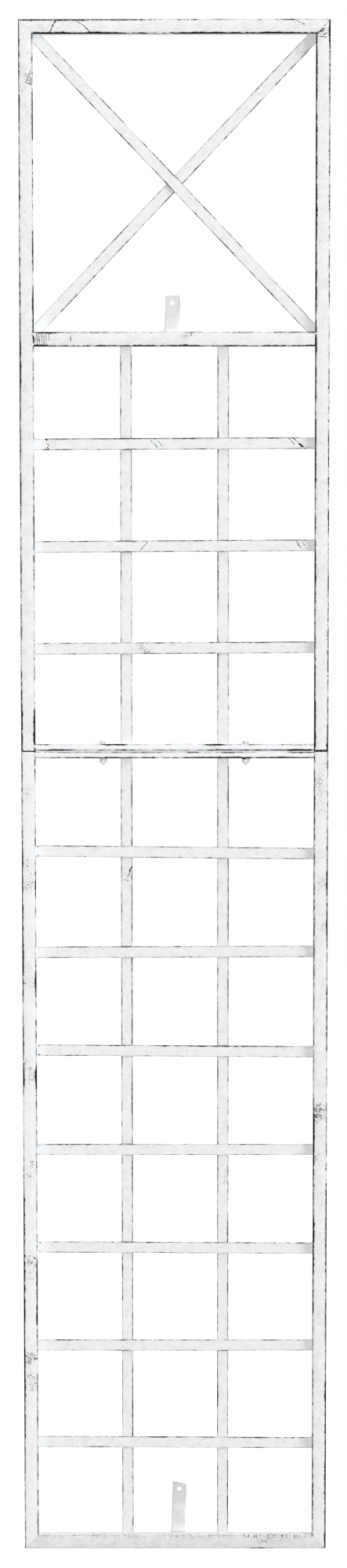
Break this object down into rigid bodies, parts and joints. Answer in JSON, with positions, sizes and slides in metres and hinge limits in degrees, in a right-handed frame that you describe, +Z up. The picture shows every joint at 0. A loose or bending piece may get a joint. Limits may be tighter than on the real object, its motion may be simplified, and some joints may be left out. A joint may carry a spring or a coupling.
{
  "type": "espalier frame",
  "caption": "Tall narrow espalier frame of welded tube and flat bar: an upper panel bolted onto a lower one, with a braced top bay, an open lattice and stand-off wall tabs.",
  "frame": {"origin": "centre of the bottom rail's underside", "axes": "+Z up the frame, +X to the right seen from the front, +Y from the front towards the wall"},
  "size_m": [0.43, 0.075, 2.15],
  "materials": {
    "frame_tube": "matt white paint rubbed through to black along the edges",
    "lattice": "matt white paint with brush strokes and worn edges",
    "wall_tabs": "matt white paint, little worn",
    "hardware": "white paint over zinc, worn on the corners"
  },
  "bodies": {
    "lower_panel": {"lower_left_stile": "frame_tube", "lower_right_stile": "frame_tube", "lower_meeting_rail": "frame_tube", "bottom_rail": "frame_tube", "lower_left_upright": "lattice", "lower_right_upright": "lattice", "lower_bar_1": "lattice", "lower_bar_2": "lattice", "lower_bar_3": "lattice", "lower_bar_4": "lattice", "lower_bar_5": "lattice", "lower_bar_6": "lattice", "lower_bar_7": "lattice", "lower_wall_tab": "wall_tabs"},
    "upper_panel": {"upper_left_stile": "frame_tube", "upper_right_stile": "frame_tube", "top_rail": "frame_tube", "transom": "frame_tube", "upper_meeting_rail": "frame_tube", "brace_front": "lattice", "brace_rear": "lattice", "upper_left_upright": "lattice", "upper_right_upright": "lattice", "upper_bar_1": "lattice", "upper_bar_2": "lattice", "upper_bar_3": "lattice", "upper_wall_tab": "wall_tabs"},
    "left_bolt_body": {"left_bolt": "hardware"},
    "right_bolt_body": {"right_bolt": "hardware"},
    "left_washer_body": {"left_washer": "hardware"},
    "right_washer_body": {"right_washer": "hardware"},
    "left_nut_body": {"left_nut": "hardware"},
    "right_nut_body": {"right_nut": "hardware"}
  },
  "joints": [
    {"name": "upper_panel_lift", "type": "slide", "parent": "lower_panel", "child": "upper_panel", "axis": [0, 0, 1], "range_m": [0, 0.06]},
    {"name": "left_bolt_draw", "type": "slide", "parent": "upper_panel", "child": "left_bolt_body", "axis": [0, 0, 1], "range_m": [0, 0.04]},
    {"name": "right_bolt_draw", "type": "slide", "parent": "upper_panel", "child": "right_bolt_body", "axis": [0, 0, 1], "range_m": [0, 0.04]},
    {"name": "left_nut_travel", "type": "slide", "parent": "lower_panel", "child": "left_washer_body", "axis": [0, 0, -1], "range_m": [0, 0.008]},
    {"name": "left_nut_turn", "type": "hinge", "parent": "left_washer_body", "child": "left_nut_body", "pos_m": [-0.1, 0, 1.1279], "axis": [0, 0, -1], "range_deg": [0, 2881]},
    {"name": "right_nut_travel", "type": "slide", "parent": "lower_panel", "child": "right_washer_body", "axis": [0, 0, -1], "range_m": [0, 0.008]},
    {"name": "right_nut_turn", "type": "hinge", "parent": "right_washer_body", "child": "right_nut_body", "pos_m": [0.1, 0, 1.1279], "axis": [0, 0, -1], "range_deg": [0, 2881]}
  ],
  "couplings": [
    {"joint": "left_nut_turn", "follows": "left_nut_travel", "rad_per_m": 6283.2},
    {"joint": "right_nut_turn", "follows": "right_nut_travel", "rad_per_m": 6283.2}
  ]
}
